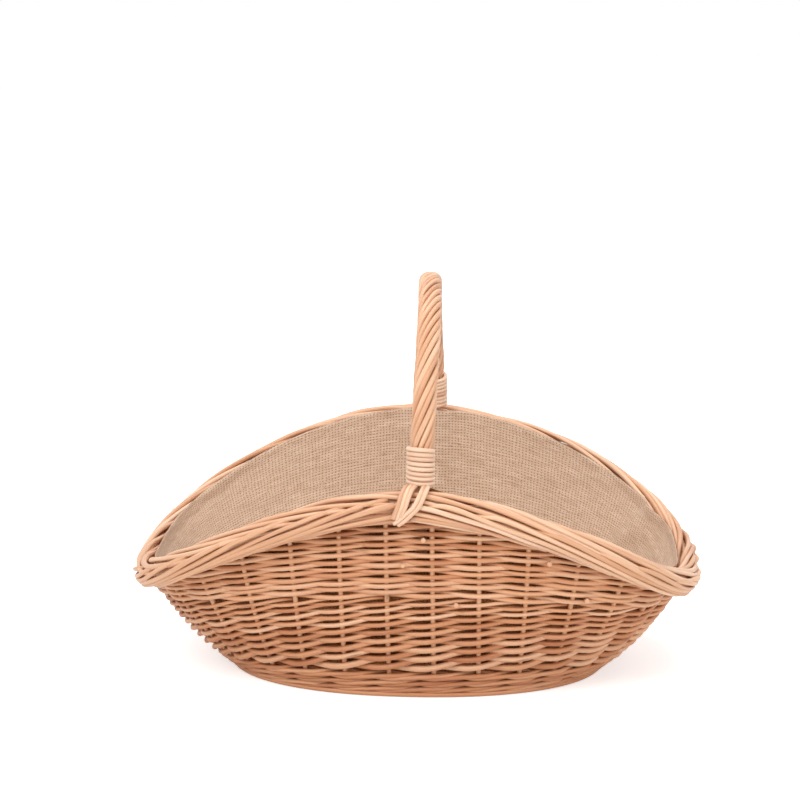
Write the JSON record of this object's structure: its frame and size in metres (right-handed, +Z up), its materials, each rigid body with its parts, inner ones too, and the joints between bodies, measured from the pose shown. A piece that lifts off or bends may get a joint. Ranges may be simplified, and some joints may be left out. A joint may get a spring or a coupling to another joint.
{
  "type": "garden trug basket",
  "caption": "Boat-shaped willow trug with an oval base, a thick plaited border, one roped bow handle across the middle and a hessian lining.",
  "frame": {"origin": "middle of the underside of the base, on the surface that the basket stands on", "axes": "+X along the length, +Y across the width away from the pictured side, +Z up"},
  "size_m": [0.5986, 0.4196, 0.424],
  "materials": {
    "weave_willow": "buff willow with a thin satin varnish",
    "border_willow": "paler buff willow with a thin satin varnish",
    "stick_wood": "peeled willow sticks, unvarnished",
    "hessian": "plain-woven jute hessian"
  },
  "bodies": {
    "root": {"base_weave": "weave_willow", "base_cross_sticks": "stick_wood", "base_long_sticks": "stick_wood", "side_stake_1": "weave_willow", "side_stake_2": "weave_willow", "side_stake_3": "weave_willow", "side_stake_4": "weave_willow", "side_stake_5": "weave_willow", "side_stake_6": "weave_willow", "side_stake_7": "weave_willow", "side_stake_8": "weave_willow", "side_stake_9": "weave_willow", "side_stake_10": "weave_willow", "side_stake_11": "weave_willow", "side_stake_12": "weave_willow", "side_stake_13": "weave_willow", "side_stake_14": "weave_willow", "side_stake_15": "weave_willow", "side_stake_16": "weave_willow", "side_stake_17": "weave_willow", "side_stake_18": "weave_willow", "side_stake_19": "weave_willow", "side_stake_20": "weave_willow", "side_stake_21": "weave_willow", "side_stake_22": "weave_willow", "side_stake_23": "weave_willow", "side_stake_24": "weave_willow", "side_stake_25": "weave_willow", "side_stake_26": "weave_willow", "side_stake_27": "weave_willow", "side_stake_28": "weave_willow", "side_stake_29": "weave_willow", "side_stake_30": "weave_willow", "side_stake_31": "weave_willow", "side_stake_32": "weave_willow", "side_stake_33": "weave_willow", "side_stake_34": "weave_willow", "side_stake_35": "weave_willow", "side_stake_36": "weave_willow", "upsett_foot_row": "weave_willow", "upsett_wale_1": "weave_willow", "upsett_wale_2": "weave_willow", "upsett_wale_3": "weave_willow", "upsett_wale_4": "weave_willow", "upsett_wale_5": "weave_willow", "siding_rods": "weave_willow", "packing_front": "weave_willow", "packing_back": "weave_willow", "border_plait": "border_willow", "border_trac": "border_willow", "handle_bow": "weave_willow", "handle_rope": "border_willow", "bound_strands": "border_willow", "whipping_front": "border_willow", "whipping_back": "border_willow", "tails_front": "border_willow", "tails_back": "border_willow", "lining_side": "hessian", "lining_floor": "hessian"}
  },
  "joints": []
}
